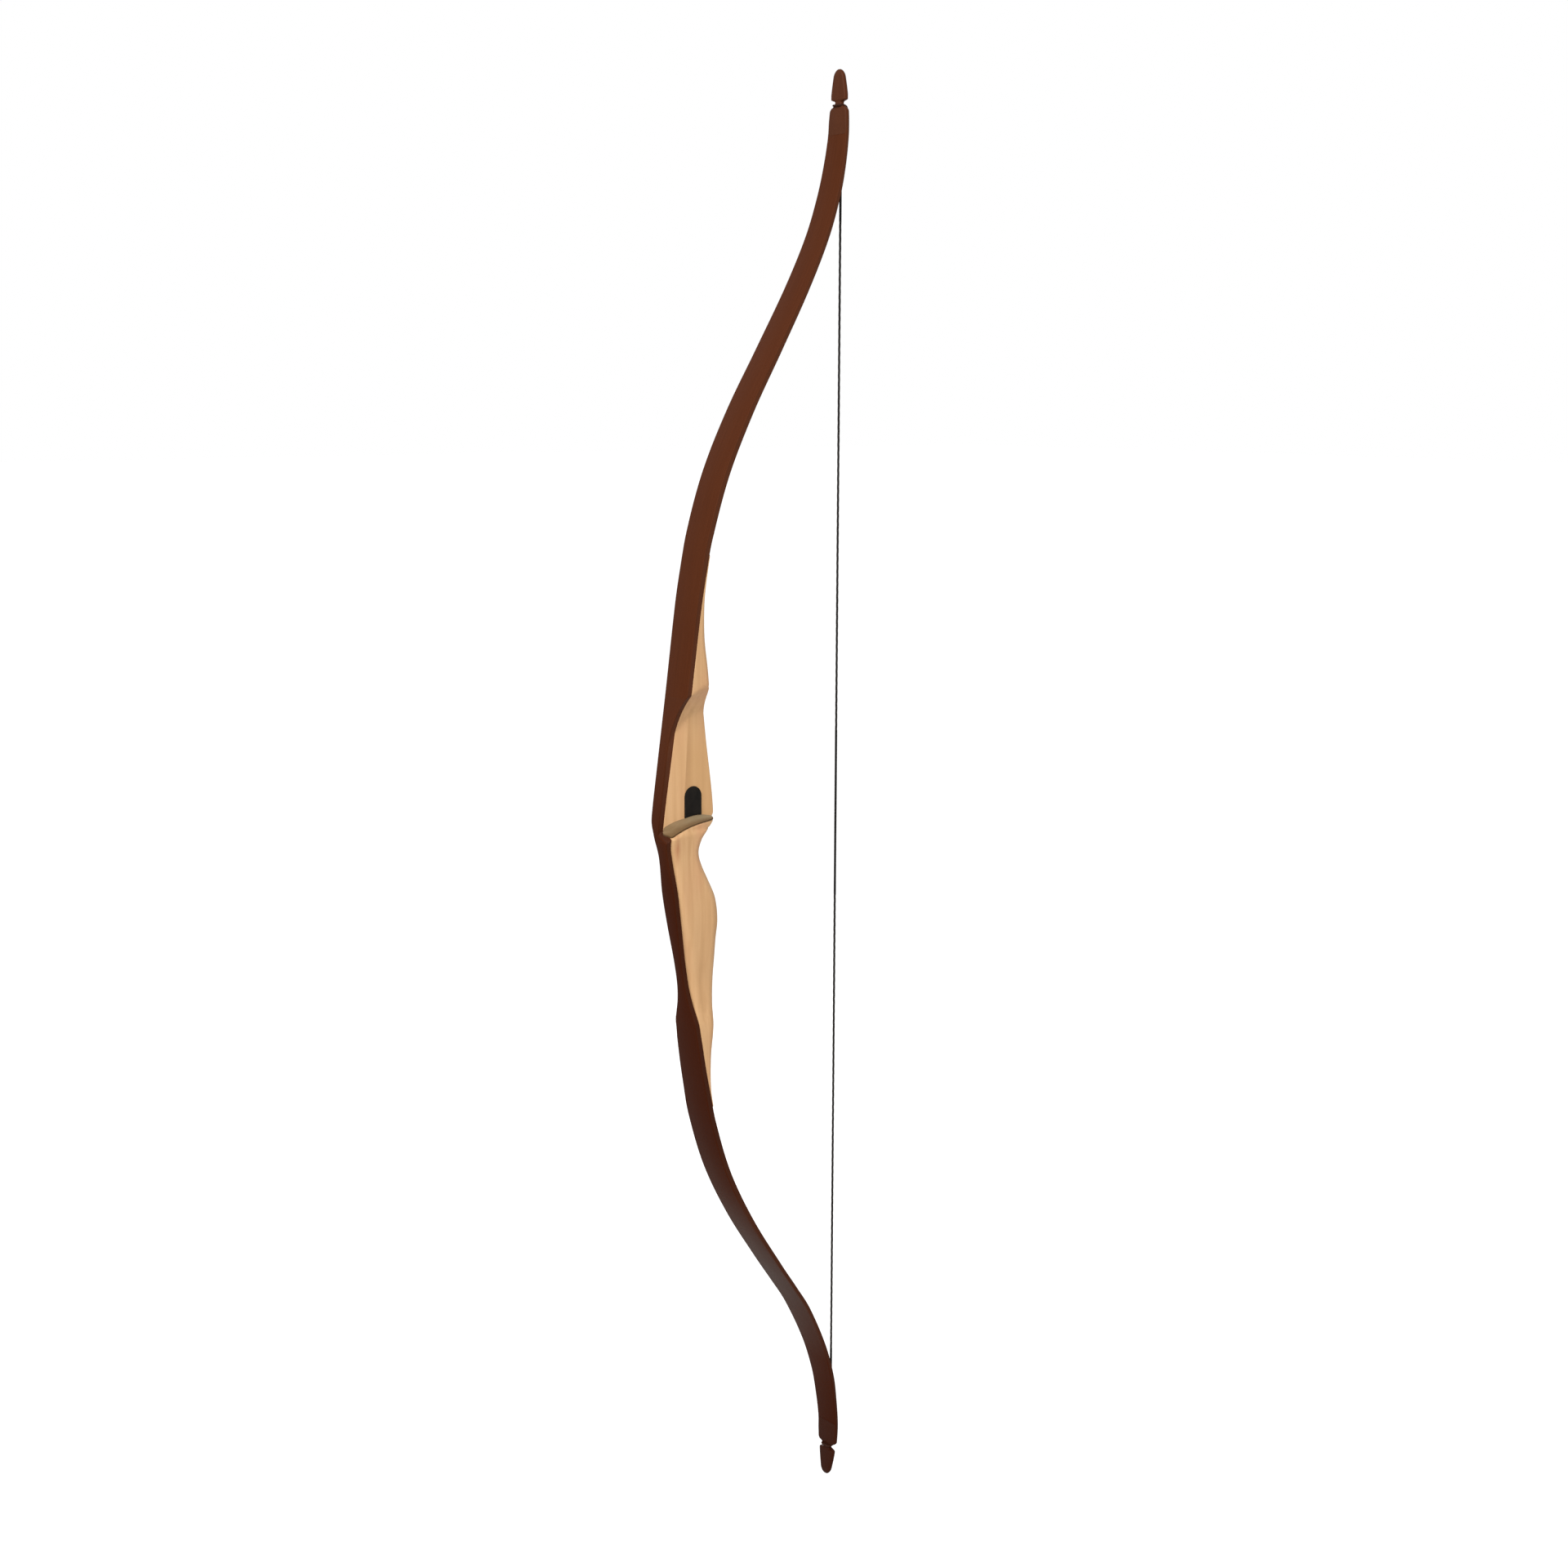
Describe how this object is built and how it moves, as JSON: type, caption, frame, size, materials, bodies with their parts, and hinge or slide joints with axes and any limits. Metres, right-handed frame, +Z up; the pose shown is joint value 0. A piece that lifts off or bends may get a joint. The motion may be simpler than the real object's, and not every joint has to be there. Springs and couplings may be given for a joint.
{
  "type": "recurve bow",
  "caption": "Strung one-piece recurve bow with a pale wood riser, cut sight window, arrow shelf, brown laminated limbs with curved tips, and a served bowstring.",
  "frame": {"origin": "deepest point of the grip, on the archer's side, where the web of the hand sits", "axes": "+Z up the bow, +X towards the archer and the string, -Y to the side with the sight window"},
  "size_m": [0.232, 0.0402, 1.504],
  "materials": {
    "riser_wood": "satin varnish over pale straight-grained wood",
    "brown_facing": "dark brown glass-fibre facing, satin gloss",
    "stained_core": "brown-stained laminated core, satin",
    "black_plate": "matt black",
    "shelf_suede": "olive-tan suede",
    "string_strands": "waxed dark polyester strands",
    "serving_thread": "tight black nylon thread"
  },
  "bodies": {
    "riser": {"riser_block": "riser_wood", "riser_back_glass": "brown_facing", "riser_limb_core": "stained_core", "riser_belly_glass": "brown_facing", "side_plate": "black_plate", "shelf_pad": "shelf_suede"},
    "upper_mid_limb": {"upper_mid_back_glass": "brown_facing", "upper_mid_core": "stained_core", "upper_mid_belly_glass": "brown_facing"},
    "upper_tip_limb": {"upper_tip_back_glass": "brown_facing", "upper_tip_core": "stained_core", "upper_tip_belly_glass": "brown_facing", "upper_tip_overlay": "stained_core"},
    "upper_half_string": {"upper_string": "string_strands", "upper_loop": "string_strands", "upper_end_serving": "serving_thread", "upper_centre_serving": "serving_thread"},
    "lower_mid_limb": {"lower_mid_back_glass": "brown_facing", "lower_mid_core": "stained_core", "lower_mid_belly_glass": "brown_facing"},
    "lower_tip_limb": {"lower_tip_back_glass": "brown_facing", "lower_tip_core": "stained_core", "lower_tip_belly_glass": "brown_facing", "lower_tip_overlay": "stained_core"},
    "lower_half_string": {"lower_string": "string_strands", "lower_loop": "string_strands", "lower_end_serving": "serving_thread", "lower_centre_serving": "serving_thread"}
  },
  "joints": [
    {"name": "upper_inner_flex", "type": "hinge", "parent": "riser", "child": "upper_mid_limb", "pos_m": [0.02584, 0, 0.362], "axis": [0, 1, 0], "range_deg": [0, 14.2], "stiffness_Nm_per_rad": 780, "springref_deg": -1.49},
    {"name": "upper_outer_flex", "type": "hinge", "parent": "upper_mid_limb", "child": "upper_tip_limb", "pos_m": [0.09989, 0, 0.497], "axis": [0, 1, 0], "range_deg": [0, 14.2]},
    {"name": "upper_string_turn", "type": "hinge", "parent": "upper_tip_limb", "child": "upper_half_string", "pos_m": [0.18268, 0, 0.7365], "axis": [0, -1, 0], "range_deg": [0, 57.11]},
    {"name": "lower_inner_flex", "type": "hinge", "parent": "riser", "child": "lower_mid_limb", "pos_m": [0.02584, 0, -0.328], "axis": [0, -1, 0], "range_deg": [0, 14.2]},
    {"name": "lower_outer_flex", "type": "hinge", "parent": "lower_mid_limb", "child": "lower_tip_limb", "pos_m": [0.09989, 0, -0.463], "axis": [0, -1, 0], "range_deg": [0, 14.2]},
    {"name": "lower_string_turn", "type": "hinge", "parent": "lower_tip_limb", "child": "lower_half_string", "pos_m": [0.18268, 0, -0.7025], "axis": [0, 1, 0], "range_deg": [0, 57.11]}
  ],
  "couplings": [
    {"joint": "upper_outer_flex", "follows": "upper_inner_flex", "ratio": 1},
    {"joint": "upper_string_turn", "follows": "upper_inner_flex", "ratio": 4.0214},
    {"joint": "lower_inner_flex", "follows": "upper_inner_flex", "ratio": 1},
    {"joint": "lower_outer_flex", "follows": "upper_inner_flex", "ratio": 1},
    {"joint": "lower_string_turn", "follows": "upper_inner_flex", "ratio": 4.0214}
  ]
}
